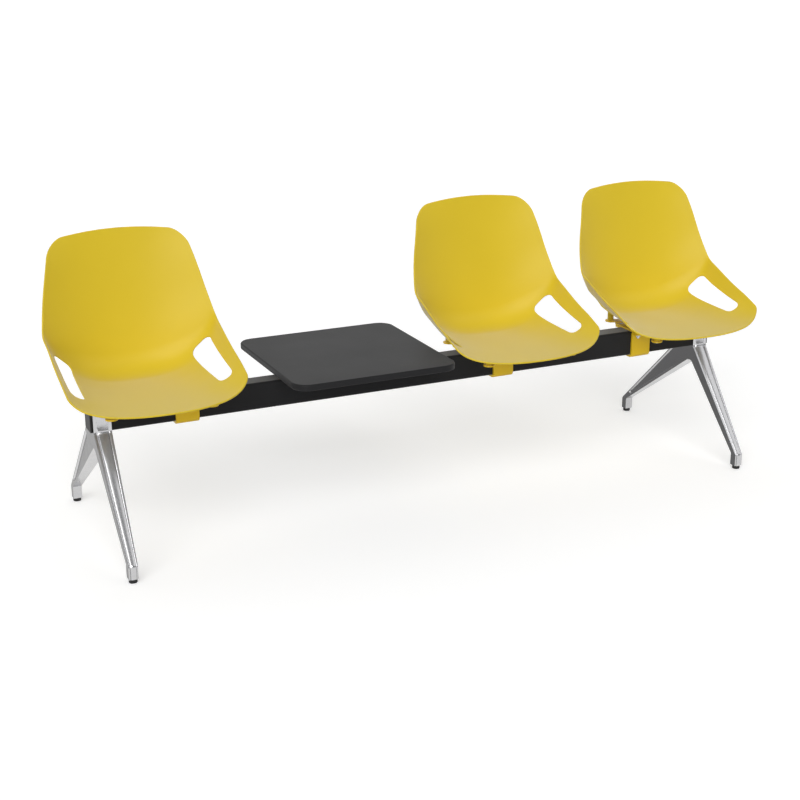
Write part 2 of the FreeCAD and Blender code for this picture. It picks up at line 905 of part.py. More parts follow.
def make_strap(x):
    inside = beam_depth / 2.0 + strap_side_clearance
    outside = inside + strap_thickness
    bottom = beam_underside - strap_thickness
    shelf = beam_top - strap_thickness
    low_inner = beam_corner_radius
    low_outer = beam_corner_radius + strap_thickness
    high_outer = strap_bend_radius + strap_thickness
    left = x - strap_width / 2.0
    outline = [
        (vec(left, -strap_flange_reach, beam_top), 0.0),
        (vec(left, -strap_flange_reach, shelf), 0.0),
        (vec(left, -outside, shelf), strap_bend_radius),
        (vec(left, -outside, bottom), low_outer),
        (vec(left, outside, bottom), low_outer),
        (vec(left, outside, shelf), strap_bend_radius),
        (vec(left, strap_flange_reach, shelf), 0.0),
        (vec(left, strap_flange_reach, beam_top), 0.0),
        (vec(left, inside, beam_top), high_outer),
        (vec(left, inside, beam_underside), low_inner),
        (vec(left, -inside, beam_underside), low_inner),
        (vec(left, -inside, beam_top), high_outer),
    ]
    strap = rounded_prism(outline, vec(strap_width, 0.0, 0.0))
    for stud_place_x, y in stud_places(x):
        hole = stud_diameter + bolt_clearance
        strap = strap.cut(rod(stud_place_x, y, shelf - 1.0, beam_top + 1.0, hole))
    return strap


def make_studs(strap_x):
    studs = []
    low = carrier_top - stud_length
    for x, y in stud_places(strap_x):
        head = rod(x, y, carrier_top - stud_head_height, carrier_top, stud_head_diameter)
        studs.append(head.fuse(rod(x, y, low, carrier_top - stud_head_height, stud_diameter)))
    return group(studs)


def make_nuts(strap_x):
    nuts = []
    high = beam_top - strap_thickness
    for x, y in stud_places(strap_x):
        nut = hexagon(x, y, high - nut_height, high, nut_width)
        bore = stud_diameter + 2.0 * thread_gap
        nuts.append(nut.cut(rod(x, y, high - nut_height - 1.0, high + 1.0, bore)))
    return group(nuts)


# Table

def table_underside():
    return beam_top + table_gap


def make_table_top():
    half_width = table_width / 2.0
    half_depth = table_depth / 2.0
    low = table_underside()
    outline = [
        (vec(table_x - half_width, table_y - half_depth, low), table_corner_radius),
        (vec(table_x + half_width, table_y - half_depth, low), table_corner_radius),
        (vec(table_x + half_width, table_y + half_depth, low), table_corner_radius),
        (vec(table_x - half_width, table_y + half_depth, low), table_corner_radius),
    ]
    top = rounded_prism(outline, vec(0.0, 0.0, table_thickness))
    high = low + table_thickness
    top = top.makeFillet(
        table_top_edge_radius, edges_matching(top, lambda edge: edge.BoundBox.ZMin > high - 0.01)
    )
    top = top.makeFillet(
        table_low_edge_radius, edges_matching(top, lambda edge: edge.BoundBox.ZMax < low + 0.01)
    )
    for x, y in table_screw_places():
        bore = table_screw_diameter + 2.0 * thread_gap
        top = top.cut(rod(x, y, low - 1.0, low + table_screw_bite + 0.5, bore))
    return top


def table_screw_places():
    places = []
    for x in (table_x - table_screw_x, table_x + table_screw_x):
        for step in (-1.0, 0.0, 1.0):
            places.append((x, table_y + step * table_screw_pitch))
    return places


def bracket_bolt_places():
    reach = bracket_top_width / 2.0 + bracket_foot_width / 2.0
    places = []
    for x in (table_x - reach, table_x + reach):
        for y in (-bracket_bolt_y, bracket_bolt_y):
            places.append((x, y))
    return places


def make_table_bracket():
    half_top = bracket_top_width / 2.0
    half_foot = half_top + bracket_foot_width
    front = table_y - bracket_length / 2.0
    high = table_underside()
    sheet = bracket_sheet
    outer_bend = bracket_bend_radius + sheet
    outline = [
        (vec(table_x - half_foot, front, beam_top), 0.0),
        (vec(table_x - half_foot, front, beam_top + sheet), 0.0),
        (vec(table_x - half_top, front, beam_top + sheet), bracket_bend_radius),
        (vec(table_x - half_top, front, high), outer_bend),
        (vec(table_x + half_top, front, high), outer_bend),
        (vec(table_x + half_top, front, beam_top + sheet), bracket_bend_radius),
        (vec(table_x + half_foot, front, beam_top + sheet), 0.0),
        (vec(table_x + half_foot, front, beam_top), 0.0),
        (vec(table_x + half_top - sheet, front, beam_top), outer_bend),
        (vec(table_x + half_top - sheet, front, high - sheet), bracket_bend_radius),
        (vec(table_x - half_top + sheet, front, high - sheet), bracket_bend_radius),
        (vec(table_x - half_top + sheet, front, beam_top), outer_bend),
    ]
    hat = rounded_prism(outline, vec(0.0, bracket_length, 0.0))
    for x, y in bracket_bolt_places():
        hole = bracket_bolt_diameter + bolt_clearance
        hat = hat.cut(rod(x, y, beam_top - 1.0, beam_top + sheet + 1.0, hole))
    for x, y in table_screw_places():
        hole = table_screw_diameter + bolt_clearance
        hat = hat.cut(rod(x, y, high - sheet - 1.0, high + 1.0, hole))
    return hat


def make_bracket_bolts():
    bolts = []
    seat = beam_top + bracket_sheet
    low = beam_top - beam_wall - bracket_plate_thickness - bracket_bolt_end_under_plate
    for x, y in bracket_bolt_places():
        head = hexagon(x, y, seat, seat + bracket_bolt_head_height, bracket_bolt_head_width)
        bolts.append(head.fuse(rod(x, y, low, seat, bracket_bolt_diameter)))
    return group(bolts)


def make_bracket_plate():
    reach = bracket_top_width / 2.0 + bracket_foot_width / 2.0 + bracket_plate_spare
    high = beam_top - beam_wall
    plate = block(
        table_x - reach,
        table_x + reach,
        -bracket_plate_depth / 2.0,
        bracket_plate_depth / 2.0,
        high - bracket_plate_thickness,
        high,
    )
    for x, y in bracket_bolt_places():
        bore = bracket_bolt_diameter + 2.0 * thread_gap
        plate = plate.cut(rod(x, y, high - bracket_plate_thickness - 1.0, high + 1.0, bore))
    return plate


def make_table_screws():
    screws = []
    seat = table_underside() - bracket_sheet
    for x, y in table_screw_places():
        head = rod(x, y, seat - table_screw_head_height, seat, table_screw_head_diameter)
        shank = rod(x, y, seat, table_underside() + table_screw_bite, table_screw_diameter)
        screws.append(head.fuse(shank))
    return group(screws)


# Build and save every piece

save("beam", make_beam())

for end, side in (("left", -1.0), ("right", 1.0)):
    save("end_cap_" + end, make_end_cap(side))
    save("leg_" + end, make_leg(side))
    save("leg_bolts_" + end, make_leg_bolts(side))
    save("leg_nut_plate_" + end, make_leg_plate(side))
    for place, foot_y in (("front", -front_foot_reach), ("rear", rear_foot_reach)):
        save("glide_pad_" + place + "_" + end, make_glide_pad(side * leg_x, foot_y))
        save("glide_stem_" + place + "_" + end, make_glide_stem(side * leg_x, foot_y))

seat_shell = make_seat_shell()
seat_inserts = make_seat_inserts()
seat_screws = make_seat_screws()

seats = (
    ("left", left_seat_x, left_strap_x, 1.0),
    ("inner", inner_seat_x, inner_strap_x, -1.0),
    ("right", right_seat_x, right_strap_x, -1.0),
)

for name, seat_x, strap_x, long_side in seats:
    shift = vec(seat_x, 0.0, 0.0)
    save("seat_shell_" + name, seat_shell.translated(shift))
    save("seat_inserts_" + name, seat_inserts.translated(shift))
    save("seat_screws_" + name, seat_screws.translated(shift))
    save("seat_carrier_" + name, make_carrier(long_side, strap_x - seat_x).translated(shift))
    save("beam_strap_" + name, make_strap(strap_x))
    save("strap_studs_" + name, make_studs(strap_x))
    save("strap_nuts_" + name, make_nuts(strap_x))

save("table_top", make_table_top())
save("table_bracket", make_table_bracket())
save("table_screws", make_table_screws())
save("bracket_bolts", make_bracket_bolts())
save("bracket_nut_plate", make_bracket_plate())
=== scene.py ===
import json
import math

import bpy
import numpy as np
from mathutils import Matrix, Vector


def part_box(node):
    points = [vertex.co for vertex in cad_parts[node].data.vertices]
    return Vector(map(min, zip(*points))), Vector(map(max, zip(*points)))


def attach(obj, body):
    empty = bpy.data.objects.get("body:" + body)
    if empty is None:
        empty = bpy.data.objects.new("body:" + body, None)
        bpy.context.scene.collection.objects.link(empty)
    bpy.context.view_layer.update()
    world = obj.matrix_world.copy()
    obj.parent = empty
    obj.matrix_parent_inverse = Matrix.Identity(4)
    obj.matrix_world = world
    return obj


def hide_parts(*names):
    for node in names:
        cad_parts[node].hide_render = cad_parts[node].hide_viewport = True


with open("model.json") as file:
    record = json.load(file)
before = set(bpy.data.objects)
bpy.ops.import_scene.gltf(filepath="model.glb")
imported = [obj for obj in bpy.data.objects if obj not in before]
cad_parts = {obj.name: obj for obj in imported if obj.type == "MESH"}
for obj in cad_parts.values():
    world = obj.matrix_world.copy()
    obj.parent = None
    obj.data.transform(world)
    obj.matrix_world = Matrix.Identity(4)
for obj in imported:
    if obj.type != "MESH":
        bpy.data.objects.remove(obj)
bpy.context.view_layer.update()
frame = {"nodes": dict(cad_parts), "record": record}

nodes = frame["nodes"]
beamLow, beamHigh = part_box("beam")
beamTop = beamHigh.z
beamY = (beamLow.y + beamHigh.y) / 2.0
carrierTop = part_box("seat_carrier_inner")[1].z
seatNames = ("left", "inner", "right")
print("frame loaded:", len(nodes), "nodes")


# Small helpers

def deselectAll():
    if bpy.context.object and bpy.context.object.mode != "OBJECT":
        bpy.ops.object.mode_set(mode="OBJECT")
    bpy.ops.object.select_all(action="DESELECT")


def makeActive(piece):
    deselectAll()
    piece.select_set(True)
    bpy.context.view_layer.objects.active = piece


def addModifier(piece, kind, **values):
    makeActive(piece)
    bpy.ops.object.modifier_add(type=kind)
    modifier = piece.modifiers[-1]
    for name, value in values.items():
        setattr(modifier, name, value)
    return modifier


def applyModifier(piece, kind, **values):
    modifier = addModifier(piece, kind, **values)
    bpy.ops.object.modifier_apply(modifier=modifier.name)


def settle(piece):
    makeActive(piece)  # the place goes into the mesh and the object to the origin
    bpy.ops.object.transform_apply(location=True, rotation=True, scale=True)


def copyPiece(piece, name, shift):
    twin = piece.copy()
    twin.data = piece.data.copy()
    twin.name = name
    twin.data.name = name
    twin.data.transform(Matrix.Translation(shift))
    bpy.context.scene.collection.objects.link(twin)
    return twin


# Camera

cameraView = {
    "place": (-1.8719, -3.8729, 1.7254),
    "pitch": 18.61,  # degrees down
    "yaw": 25.14,  # degrees to the right
    "lens": 66.23,
    "clipEnd": 200.0,
}

bpy.ops.object.camera_add(location=cameraView["place"])
camera = bpy.context.object
camera.name = "camera"
camera.rotation_euler = (
    math.radians(90.0 - cameraView["pitch"]),
    0.0,
    -math.radians(cameraView["yaw"]),
)
camera.data.lens = cameraView["lens"]
camera.data.clip_end = cameraView["clipEnd"]
bpy.context.scene.camera = camera
print("camera placed")


# Seat shell: the same curved sheet as the solid, with rounded edges

seatShell = {
    "thickness": 0.005,
    "edgeRound": 0.0017,
    "columns": 64,
    "rows": 104,
    "panFrontY": -0.2435,
    "panFrontRise": 0.0215,
    "panTilt": 1.1,
    "bendStartY": 0.0955,
    "bendRadius": 0.078,
    "backAngle": 79.5,
    "topRise": 0.428,
    "overrun": 0.012,
    "frontBow": 0.0615,
    "frontCorner": (0.4, 0.032),  # share of the half width, length along the path
    "topCrown": 0.0205,
    "topCorner": (0.22, 0.0525),
    "wing": (0.75, 3.3, 14.0),  # share, power of the wing, power of the lip
    "backPower": 2.2,
    "climbBlend": (0.075, 0.072),  # before and after the bend
    "levels": (0.113, 0.211, 0.306, 0.385),  # middle's rise at elbow, waist, shoulder, upper
    "relaxRounds": 220,
    "solverRounds": 20,
    "edgePoints": 24,
    "edgeAngle": 50.0,
    "smoothAngle": 40.0,
}

sidePoints = {  # half width, distance behind the beam, rise over the beam
    "front": (0.242, -0.2525, 0.0455),
    "armFront": (0.247, -0.1685, 0.064),
    "armMiddle": (0.248, -0.096, 0.0905),
    "armHigh": (0.2475, -0.020, 0.1155),
    "armRear": (0.2465, 0.050, 0.1445),
    "elbow": (0.245, 0.123, 0.190),
    "waist": (0.232, 0.155, 0.2565),
    "shoulder": (0.2155, 0.1785, 0.329),
    "upper": (0.200, 0.206, 0.3925),
    "top": (0.190, 0.2305, 0.442),
}

handHole = {
    "place": (0.2035, 0.015, 0.0718),
    "length": 0.225,
    "frontWidth": 0.041,
    "rearWidth": 0.078,
    "frontRound": 0.017,
    "rearRound": 0.023,
    "climb": 8.4,
    "slope": 38.5,
    "arcSteps": 16,
    "start": (0.82, 0.28),  # share across and length along the path, where the search begins
}

shellBoss = {
    "x": 0.140,
    "frontY": -0.165,
    "rearY": 0.100,
    "radius": 0.010,
    "bore": 0.0045,
    "boreDepth": 0.0094,
    "edgeRound": 0.0006,
    "edgeAngle": 40.0,
    "sides": 48,
    "solverRounds": 8,
}

tilt = math.radians(seatShell["panTilt"])
lean = math.radians(seatShell["backAngle"])
panLength = (seatShell["bendStartY"] - seatShell["panFrontY"]) / math.cos(tilt)
bendStartRise = seatShell["panFrontRise"] - panLength * math.sin(tilt)
bendCentreY = seatShell["bendStartY"] + seatShell["bendRadius"] * math.sin(tilt)
bendCentreRise = bendStartRise + seatShell["bendRadius"] * math.cos(tilt)
bendLength = seatShell["bendRadius"] * (lean + tilt)
bendEndY = bendCentreY + seatShell["bendRadius"] * math.sin(lean)
bendEndRise = bendCentreRise - seatShell["bendRadius"] * math.cos(lean)
backLength = (seatShell["topRise"] - bendEndRise) / math.sin(lean)
shellLength = panLength + bendLength + backLength


def middleLine(path):
    onPan = path < panLength
    onBend = ~onPan & (path < panLength + bendLength)
    turn = (path - panLength) / seatShell["bendRadius"] - tilt
    rest = path - panLength - bendLength
    y = bendEndY + rest * math.cos(lean)
    rise = bendEndRise + rest * math.sin(lean)
    y = np.where(onBend, bendCentreY + seatShell["bendRadius"] * np.sin(turn), y)
    rise = np.where(onBend, bendCentreRise - seatShell["bendRadius"] * np.cos(turn), rise)
    y = np.where(onPan, seatShell["panFrontY"] + path * math.cos(tilt), y)
    rise = np.where(onPan, seatShell["panFrontRise"] - path * math.sin(tilt), rise)
    return y, rise


def makeSideLine():  # smooth curve through the side points, as a natural cubic spline
    places = list(sidePoints.values())
    bendEnd = panLength + bendLength
    stations = [-seatShell["overrun"]]
    stations += [place[1] - seatShell["panFrontY"] for place in places[1:5]]
    stations += [bendEnd + (level - bendEndRise) / math.sin(lean) for level in seatShell["levels"]]
    stations.append(shellLength + seatShell["overrun"])
    knots = np.array(stations)
    values = np.array(places)
    steps = np.diff(knots)
    count = len(knots)
    system = np.eye(count)
    rightSide = np.zeros((count, 3))
    for k in range(1, count - 1):
        system[k, k - 1:k + 2] = (steps[k - 1], 2.0 * (steps[k - 1] + steps[k]), steps[k])
        slopes = (values[k + 1] - values[k]) / steps[k] - (values[k] - values[k - 1]) / steps[k - 1]
        rightSide[k] = 6.0 * slopes
    return knots, values, np.linalg.solve(system, rightSide)


sideKnots, sideValues, sideCurves = makeSideLine()


def sideLine(path):
    flat = np.atleast_1d(path).ravel()
    k = np.clip(np.searchsorted(sideKnots, flat) - 1, 0, len(sideKnots) - 2)
    step = sideKnots[k + 1] - sideKnots[k]
    low = ((sideKnots[k + 1] - flat) / step)[:, None]
    high = 1.0 - low
    bend = (low**3 - low) * sideCurves[k] + (high**3 - high) * sideCurves[k + 1]
    bend = bend * step[:, None]**2 / 6.0
    place = low * sideValues[k] + high * sideValues[k + 1] + bend
    return place.reshape(np.shape(path) + (3,))


def shellPoint(across, path):  # place in the seat's own frame, for arrays of any shape
    middleY, middleRise = middleLine(path)
    side = sideLine(path)
    size = np.abs(across)
    share, wingPower, lipPower = seatShell["wing"]
    pan = share * size**wingPower + (1.0 - share) * size**lipPower
    before, after = seatShell["climbBlend"]
    mix = np.clip((path - panLength + before) / (bendLength + before + after), 0.0, 1.0)
    mix = mix * mix * (3.0 - 2.0 * mix)
    climb = pan * (1.0 - mix) + size**seatShell["backPower"] * mix
    y = middleY + (side[..., 1] - middleY) * climb
    rise = middleRise + (side[..., 2] - middleRise) * climb
    return np.stack([side[..., 0] * across, y + beamY, rise + beamTop], axis=-1)


def shellFrame(flat):  # point and the two directions along the sheet
    small = 1e-5
    across, path = np.array(flat[0]), np.array(flat[1])
    point = shellPoint(across, path)
    overU = (shellPoint(across + small, path) - shellPoint(across - small, path)) / (2.0 * small)
    overPath = (shellPoint(across, path + small) - shellPoint(across, path - small)) / (2.0 * small)
    return point, overU, overPath


def nearestOnShell(target, start):
    flat = np.array(start, float)
    for _ in range(seatShell["solverRounds"]):
        point, overU, overPath = shellFrame(flat)
        directions = np.stack([overU, overPath], axis=1)
        flat += np.linalg.lstsq(directions, target - point, rcond=None)[0]
    return flat


def cornerRun(corner, fromAngle, toAngle):  # stretch of a rounded corner as (across, drop)
    share, length = corner
    angles = np.radians(np.linspace(fromAngle, toAngle, seatShell["edgePoints"]))
    across = 1.0 - share + share * np.sin(angles)
    return across, length * (1.0 - np.cos(angles))


def edgeRun(corner, bow):  # half an end edge, from the middle to half way round its corner
    straight = np.linspace(0.0, 1.0 - corner[0], seatShell["edgePoints"])[:-1]
    across, drop = cornerRun(corner, 0.0, 45.0)
    across = np.concatenate([straight, across])
    drop = np.concatenate([np.zeros(len(straight)), drop])
    return across, bow * across**2 + drop


def spacedAlong(line, count):  # even steps along a flat line
    lengths = np.concatenate([[0.0], np.cumsum(np.linalg.norm(np.diff(line, axis=0), axis=1))])
    wanted = np.linspace(0.0, lengths[-1], count)
    return np.stack([np.interp(wanted, lengths, line[:, k]) for k in range(2)], axis=1)


halfWidth = sidePoints["armRear"][0]  # turns the share across into a length


def rimLines():
    across, path = edgeRun(seatShell["frontCorner"], seatShell["frontBow"])
    front = np.stack([across * halfWidth, path], axis=1)
    across, drop = edgeRun(seatShell["topCorner"], seatShell["topCrown"])
    top = np.stack([across * halfWidth, shellLength - drop], axis=1)
    lowAcross, lowDrop = cornerRun(seatShell["frontCorner"], 45.0, 90.0)
    low = np.stack([lowAcross * halfWidth, seatShell["frontBow"] * lowAcross**2 + lowDrop], axis=1)
    highAcross, highDrop = cornerRun(seatShell["topCorner"], 90.0, 45.0)
    highPath = shellLength - seatShell["topCrown"] * highAcross**2 - highDrop
    high = np.stack([highAcross * halfWidth, highPath], axis=1)
    side = np.concatenate([low, high])
    mirror = np.array([-1.0, 1.0])
    front = np.concatenate([(front * mirror)[:0:-1], front])
    top = np.concatenate([(top * mirror)[:0:-1], top])
    return front, top, side, side * mirror


def roundedQuad(corners, rounds):  # rounded outline as four runs from arc middle to arc middle
    arcs = []
    for k, corner in enumerate(corners):
        before = corners[k - 1] - corner
        after = corners[(k + 1) % 4] - corner
        before = before / np.linalg.norm(before)
        after = after / np.linalg.norm(after)
        half = math.acos(np.clip(before @ after, -1.0, 1.0)) / 2.0
        middle = before + after
        centre = corner + middle / np.linalg.norm(middle) * rounds[k] / math.sin(half)
        start = corner + before * rounds[k] / math.tan(half) - centre
        end = corner + after * rounds[k] / math.tan(half) - centre
        turn = math.pi - 2.0 * half
        arc = []
        for t in np.linspace(0.0, 1.0, handHole["arcSteps"] + 1):
            offset = math.sin((1.0 - t) * turn) * start + math.sin(t * turn) * end
            arc.append(centre + offset / math.sin(turn))
        arcs.append(np.array(arc))
    middle = handHole["arcSteps"] // 2
    return [np.concatenate([arcs[k][middle:], arcs[(k + 1) % 4][:middle + 1]]) for k in range(4)]


def handHoleRuns(side):  # the four runs of a hand hole on the flat sheet
    climb = math.radians(handHole["climb"])
    slope = math.radians(handHole["slope"])
    along = np.array([0.0, math.cos(climb), math.sin(climb)])
    over = np.array([
        side * math.cos(slope),
        -math.sin(climb) * math.sin(slope),
        math.cos(climb) * math.sin(slope),
    ])
    x, y, rise = handHole["place"]
    centre = np.array([side * x, y + beamY, rise + beamTop])
    half = handHole["length"] / 2.0
    front = handHole["frontWidth"] / 2.0
    rear = handHole["rearWidth"] / 2.0
    corners = [
        centre - along * half - over * front,
        centre - along * half + over * front,
        centre + along * half + over * rear,
        centre + along * half - over * rear,
    ]
    rounds = [handHole["frontRound"]] * 2 + [handHole["rearRound"]] * 2
    runs = []
    start = (side * handHole["start"][0], handHole["start"][1])
    for run in roundedQuad(corners, rounds):
        flat = []
        for point in run:
            start = nearestOnShell(point, start)
            flat.append((start[0] * halfWidth, start[1]))
        runs.append(np.array(flat))
    return runs


def makeShellGrid():
    columns, rows = seatShell["columns"], seatShell["rows"]
    front, top, right, left = rimLines()
    front = spacedAlong(front, columns + 1)
    top = spacedAlong(top, columns + 1)
    right = spacedAlong(right, rows + 1)
    left = spacedAlong(left, rows + 1)
    u = np.linspace(0.0, 1.0, columns + 1)[None, :, None]
    v = np.linspace(0.0, 1.0, rows + 1)[:, None, None]
    grid = (1.0 - v) * front[None] + v * top[None] + (1.0 - u) * left[:, None] + u * right[:, None]
    grid -= (1.0 - u) * (1.0 - v) * front[0] + u * (1.0 - v) * front[-1]
    grid -= (1.0 - u) * v * top[0] + u * v * top[-1]
    fixed = np.zeros((rows + 1, columns + 1), bool)
    fixed[0] = fixed[-1] = True
    fixed[:, 0] = fixed[:, -1] = True
    gone = []
    for side in (-1.0, 1.0):
        runs = handHoleRuns(side)
        middle = np.concatenate(runs).mean(axis=0)
        offsets = np.linalg.norm(grid - middle, axis=2)
        row, column = np.unravel_index(np.argmin(offsets), offsets.shape)
        cell = np.linalg.norm(grid[row, column + 1] - grid[row, column])
        width = (handHole["frontWidth"] + handHole["rearWidth"]) / 2.0
        wide = max(4, round(width / cell))
        cell = np.linalg.norm(grid[row + 1, column] - grid[row, column])
        tall = round(handHole["length"] / cell)
        left, right = column - wide // 2, column - wide // 2 + wide
        low, high = row - tall // 2, row - tall // 2 + tall
        inner, outer = (left, right) if side > 0.0 else (right, left)
        across = range(inner, outer + 1) if side > 0.0 else range(inner, outer - 1, -1)
        rims = [
            [(low, k) for k in across],
            [(k, outer) for k in range(low, high + 1)],
            [(high, k) for k in reversed(across)],
            [(k, inner) for k in range(high, low - 1, -1)],
        ]
        for run, rim in zip(runs, rims):
            for (k, m), place in zip(rim, spacedAlong(run, len(rim))):
                grid[k, m] = place
                fixed[k, m] = True
        fixed[low:high + 1, left:right + 1] = True
        gone.append((low, high, left, right))
    for _ in range(seatShell["relaxRounds"]):
        middle = (grid[:-2, 1:-1] + grid[2:, 1:-1] + grid[1:-1, :-2] + grid[1:-1, 2:]) / 4.0
        loose = ~fixed[1:-1, 1:-1]
        grid[1:-1, 1:-1][loose] = middle[loose]
    return shellPoint(grid[..., 0] / halfWidth, grid[..., 1]), gone


def addBoss(x, y):
    start = (x / halfWidth, y - seatShell["panFrontY"])
    flat = nearestOnShell(np.array([x, y + beamY, carrierTop]), start)
    for _ in range(shellBoss["solverRounds"]):  # along the sheet until it is over the boss
        point, overU, overPath = shellFrame(flat)
        directions = np.stack([overU[:2], overPath[:2]], axis=1)
        flat += np.linalg.solve(directions, np.array([x, y + beamY]) - point[:2])
    point, overU, overPath = shellFrame(flat)
    normal = np.cross(overU, overPath)
    normal = Vector(normal / np.linalg.norm(normal))
    middle = Vector(point) - normal * seatShell["thickness"] / 2.0
    radius = shellBoss["radius"]
    high = middle.z + 2.0 * radius
    deselectAll()
    bpy.ops.mesh.primitive_cylinder_add(
        vertices=shellBoss["sides"],
        radius=radius,
        depth=high - carrierTop,
        location=(x, y + beamY, (high + carrierTop) / 2.0),
    )
    boss = bpy.context.object
    settle(boss)
    bpy.ops.object.mode_set(mode="EDIT")
    bpy.ops.mesh.select_all(action="SELECT")
    bpy.ops.mesh.bisect(plane_co=middle, plane_no=normal, use_fill=True, clear_outer=True)
    bpy.ops.mesh.select_all(action="DESELECT")
    bpy.ops.object.mode_set(mode="OBJECT")
    for face in boss.data.polygons:
        face.select = face.normal.z < -0.99
    bpy.ops.object.mode_set(mode="EDIT")
    bpy.ops.mesh.select_mode(type="FACE")
    bpy.ops.mesh.inset(thickness=radius - shellBoss["bore"])
    bpy.ops.mesh.extrude_region_move(
        TRANSFORM_OT_translate={"value": (0.0, 0.0, shellBoss["boreDepth"])}
    )
    bpy.ops.object.mode_set(mode="OBJECT")
    return boss


def makeShell():
    columns, rows = seatShell["columns"], seatShell["rows"]
    points, gone = makeShellGrid()
    deselectAll()
    bpy.ops.mesh.primitive_grid_add(x_subdivisions=columns, y_subdivisions=rows, size=1.0)
    shell = bpy.context.object
    shell.name = "seatShell"
    shell.data.vertices.foreach_set("co", points.astype(np.float32).ravel())
    shell.data.update()
    bpy.ops.object.mode_set(mode="EDIT")
    bpy.ops.mesh.select_mode(type="FACE")
    bpy.ops.mesh.select_all(action="DESELECT")
    bpy.ops.object.mode_set(mode="OBJECT")
    for low, high, left, right in gone:
        for row in range(low, high):
            for column in range(left, right):
                shell.data.polygons[row * columns + column].select = True
    bpy.ops.object.mode_set(mode="EDIT")
    bpy.ops.mesh.delete(type="FACE")
    bpy.ops.object.mode_set(mode="OBJECT")
    applyModifier(
        shell, "SOLIDIFY", thickness=seatShell["thickness"], offset=-1.0, use_even_offset=True
    )
    applyModifier(
        shell, "BEVEL", width=seatShell["edgeRound"], segments=2, limit_method="ANGLE",
        angle_limit=math.radians(seatShell["edgeAngle"]),
    )
    applyModifier(shell, "SUBSURF", levels=1, render_levels=1)
    bosses = [
        addBoss(x, y)
        for x in (-shellBoss["x"], shellBoss["x"])
        for y in (shellBoss["frontY"], shellBoss["rearY"])
    ]
    for boss in bosses:
        applyModifier(
            boss, "BEVEL", width=shellBoss["edgeRound"], segments=2, limit_method="ANGLE",
            angle_limit=math.radians(shellBoss["edgeAngle"]),
        )
    deselectAll()
    for piece in bosses + [shell]:
        piece.select_set(True)
    bpy.context.view_layer.objects.active = shell
    bpy.ops.object.join()
    bpy.ops.object.shade_smooth_by_angle(angle=math.radians(seatShell["smoothAngle"]))
    return shell


shellPattern = makeShell()
seatShells = {}
for name in seatNames:
    low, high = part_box("seat_shell_" + name)
    shift = Vector(((low.x + high.x) / 2.0, 0.0, 0.0))
    shell = copyPiece(shellPattern, "moulded_shell_" + name, shift)
    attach(shell, "frame")
    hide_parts("seat_shell_" + name)
    seatShells[name] = shell
bpy.data.objects.remove(shellPattern)
print("seat shells made:", len(seatShells))


# Cast legs: the same upside-down V, with a raised spine, grooves beside it and rounded edges

castLeg = {
    "x": 0.995,
    "headWidth": 0.051,
    "ankleWidth": 0.027,
    "ankleHeight": 0.050,
    "shoulderHeight": 0.350,
    "opening": (0.0303, 0.350, 0.4303, 0.005),  # half depth, low, high, corner
    "pocket": (0.006, 0.0045, 0.004),  # margin, depth, corner
    "pocketEnds": (0.072, 0.255),  # low, high
    "pocketFloor": (0.8, 0.25),  # share of the depth that a wall leans in, share of the corner
    "recess": (0.016, 0.356, 0.388, 0.0045, 0.0008),  # half width, low, high, depth, depth below
    "recessRound": (0.0012, 30.0),  # width, angle
    "boltHoles": (0.013, -0.004, 0.00425, 0.0075, 0.318),  # x, y, radius, counterbore, seat
    "footHole": (0.0041, 0.005, 0.048),  # radius, low, high
    "counterboreDepth": 0.05,
    "cornerSteps": 6,
    "mergeDistance": 0.00002,
    "squareCorner": 1.2,  # a turn over this angle has a level top or bottom face
    "rodSides": 40,
    "overcut": 0.001,
    "reach": 0.1,  # of the cutters that pass through the casting
    "edgeRound": 0.0026,
    "edgeAngle": 0.6,
    "openingShare": 0.25,  # of the edge rounding
    "topShare": 0.6,
    "smoothAngle": 32.0,
}

legOutline = (  # distance behind the beam, height, corner radius, share of the spine's section
    (-0.0365, 0.438, 0.0, 1.0),
    (-0.0365, 0.350, 0.016, 1.0),
    (-0.281, 0.050, 0.016, 1.0),
    (-0.281, 0.0115, 0.0, 1.0),
    (-0.254, 0.0115, 0.0, 0.0),
    (-0.254, 0.050, 0.012, 0.0),
    (-0.025, 0.300, 0.014, 0.0),
    (-0.008, 0.300, 0.014, 0.0),
    (0.353, 0.050, 0.012, 0.0),
    (0.353, 0.0115, 0.0, 0.0),
    (0.380, 0.0115, 0.0, 1.0),
    (0.380, 0.050, 0.016, 1.0),
    (0.056, 0.350, 0.030, 1.0),
    (0.0393, 0.438, 0.0, 1.0),
)

spineSection = (  # share of the half width, depth under the spine's crown
    (0.0, 0.0),
    (0.18, 0.00010),
    (0.36, 0.00045),
    (0.52, 0.00100),
    (0.57, 0.00160),
    (0.63, 0.00330),
    (0.67, 0.00360),
    (0.71, 0.00330),
    (0.76, 0.00290),
)


def faceOutward(piece):
    makeActive(piece)
    bpy.ops.object.mode_set(mode="EDIT")
    bpy.ops.mesh.select_all(action="SELECT")
    bpy.ops.mesh.normals_make_consistent(inside=False)
    bpy.ops.object.mode_set(mode="OBJECT")


def makePrism(points, shift):  # flat outline, drawn out along a vector
    deselectAll()
    bpy.ops.mesh.primitive_circle_add(vertices=len(points), radius=1.0, fill_type="NGON")
    prism = bpy.context.object
    for corner, point in zip(prism.data.vertices, points):
        corner.co = point
    prism.data.update()
    bpy.ops.object.mode_set(mode="EDIT")
    bpy.ops.mesh.select_all(action="SELECT")
    bpy.ops.mesh.extrude_region_move(TRANSFORM_OT_translate={"value": shift})
    bpy.ops.object.mode_set(mode="OBJECT")
    faceOutward(prism)
    return prism


